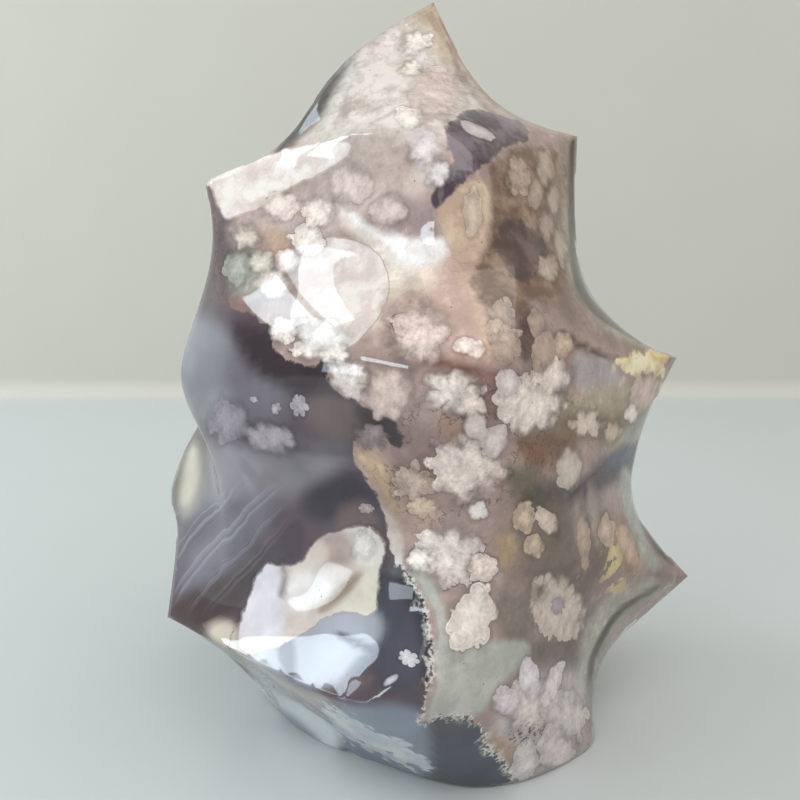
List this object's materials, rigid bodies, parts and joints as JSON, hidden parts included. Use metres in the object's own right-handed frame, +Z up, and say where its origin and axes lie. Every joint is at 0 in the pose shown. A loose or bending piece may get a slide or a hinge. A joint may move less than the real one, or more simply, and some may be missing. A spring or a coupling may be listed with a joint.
{
  "type": "sakura agate flame carving",
  "caption": "Polished flame carved from a single piece of sakura agate, with pointed horns, sharp ridges, scooped hollows and a flat foot to stand on.",
  "frame": {"origin": "on the table, under the middle of the outline", "axes": "+Z up to the peak, +X to the viewer's right in the picture, +Y away from the viewer"},
  "size_m": [0.098, 0.0798, 0.1205],
  "materials": {
    "polished_agate": "polished translucent agate with pale blossom-shaped inclusions in mauve, peach and slate"
  },
  "bodies": {
    "root": {"agate_flame": "polished_agate"}
  },
  "joints": []
}
